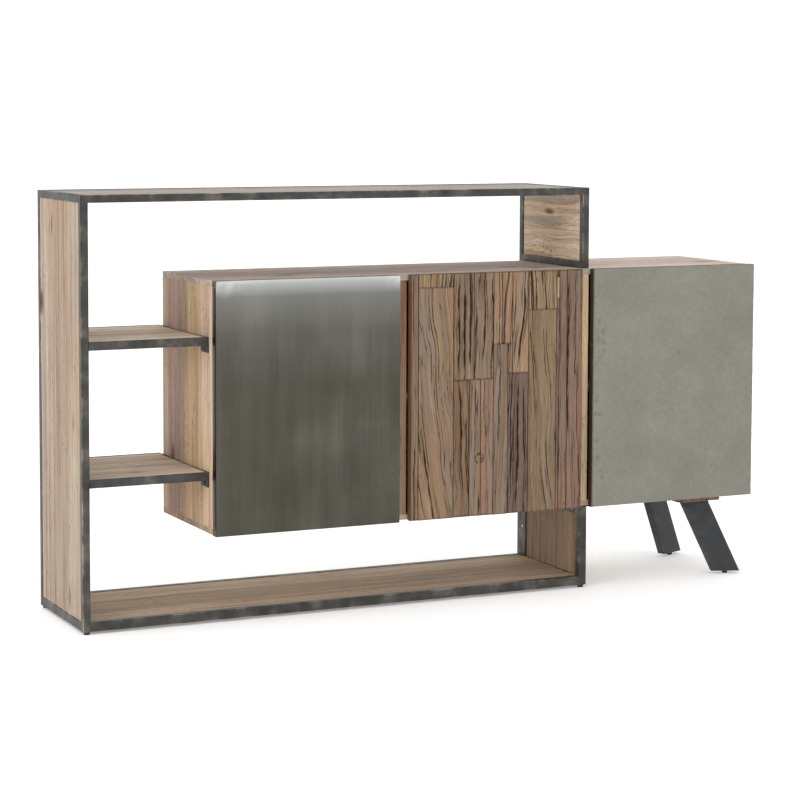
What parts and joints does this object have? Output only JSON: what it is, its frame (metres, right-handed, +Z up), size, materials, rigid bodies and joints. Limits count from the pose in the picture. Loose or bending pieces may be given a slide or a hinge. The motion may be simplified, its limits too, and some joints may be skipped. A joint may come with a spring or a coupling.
{
  "type": "sideboard buffet",
  "caption": "Long open steel-framed shelf unit with a cabinet set through it: doors of steel, reclaimed wood and cement, left shelves, and slanted legs at one end.",
  "frame": {"origin": "on the floor under the middle of the bounding box", "axes": "+X along the length, from the open shelves to the legs; +Y from the doors to the back; +Z up"},
  "size_m": [1.59, 0.34, 0.9],
  "materials": {
    "frame_steel": "dark raw steel under clear lacquer, with welds and worn bright edges",
    "black_steel": "matt black paint",
    "panel_wood": "light weathered boards, matt",
    "carcass_wood": "glued weathered boards, matt",
    "divider_wood": "sawn edge, matt",
    "board_wood": "plain board, matt",
    "reclaimed_wood": "rough split reclaimed strips",
    "batten_wood": "reddish stained wood",
    "door_steel": "brushed dark sheet steel",
    "cement": "smooth greenish grey cement with fine pits",
    "bright_steel": "zinc plated",
    "black_plastic": "black moulded plastic"
  },
  "bodies": {
    "frame_and_cabinet": {"left_front_post": "frame_steel", "left_rear_post": "frame_steel", "right_upper_post": "frame_steel", "right_lower_post": "frame_steel", "right_rear_post": "frame_steel", "top_front_rail": "frame_steel", "top_rear_rail": "frame_steel", "bottom_front_rail": "frame_steel", "bottom_rear_rail": "frame_steel", "left_top_cross": "frame_steel", "left_bottom_cross": "frame_steel", "right_top_cross": "frame_steel", "right_base_cross": "frame_steel", "right_bottom_cross": "frame_steel", "flange_bars": "frame_steel", "post_mount_plates": "black_steel", "left_panel": "panel_wood", "top_panel": "panel_wood", "bottom_panel": "panel_wood", "right_upper_panel": "panel_wood", "right_lower_panel": "panel_wood", "panel_clips": "frame_steel", "panel_screws": "bright_steel", "upper_shelf_board": "panel_wood", "upper_shelf_rim": "frame_steel", "lower_shelf_board": "panel_wood", "lower_shelf_rim": "frame_steel", "shelf_brackets": "black_steel", "carcass_top": "carcass_wood", "carcass_bottom": "carcass_wood", "carcass_left_side": "carcass_wood", "carcass_right_side": "carcass_wood", "divider_left": "divider_wood", "divider_right": "divider_wood", "back_panel": "board_wood", "inner_shelves": "board_wood", "shelf_pins": "bright_steel", "carcass_dowels": "board_wood", "pivot_plates": "black_steel", "pivot_pins": "bright_steel", "pivot_washers": "bright_steel", "hinge_screws": "bright_steel", "magnet_catches": "black_plastic", "leg_front": "black_steel", "leg_rear": "black_steel", "leg_batten": "batten_wood", "leg_plugs": "black_plastic", "fixing_screws": "bright_steel", "glides": "black_plastic"},
    "metal_door": {"metal_door_core": "board_wood", "metal_door_skin": "door_steel", "metal_door_strike": "bright_steel"},
    "wood_door": {"wood_door_backer": "board_wood", "wood_door_cladding": "reclaimed_wood", "wood_door_strike": "bright_steel"},
    "cement_door": {"cement_door_core": "board_wood", "cement_door_slab": "cement", "cement_door_strike": "bright_steel"}
  },
  "joints": [
    {"name": "metal_door_hinge", "type": "hinge", "parent": "frame_and_cabinet", "child": "metal_door", "pos_m": [-0.51402, -0.16, 0.455], "axis": [0, 0, -1], "range_deg": [0, 105]},
    {"name": "wood_door_hinge", "type": "hinge", "parent": "frame_and_cabinet", "child": "wood_door", "pos_m": [0.34136, -0.16, 0.455], "axis": [0, 0, 1], "range_deg": [0, 95]},
    {"name": "cement_door_hinge", "type": "hinge", "parent": "frame_and_cabinet", "child": "cement_door", "pos_m": [0.78902, -0.16, 0.455], "axis": [0, 0, 1], "range_deg": [0, 105]}
  ]
}
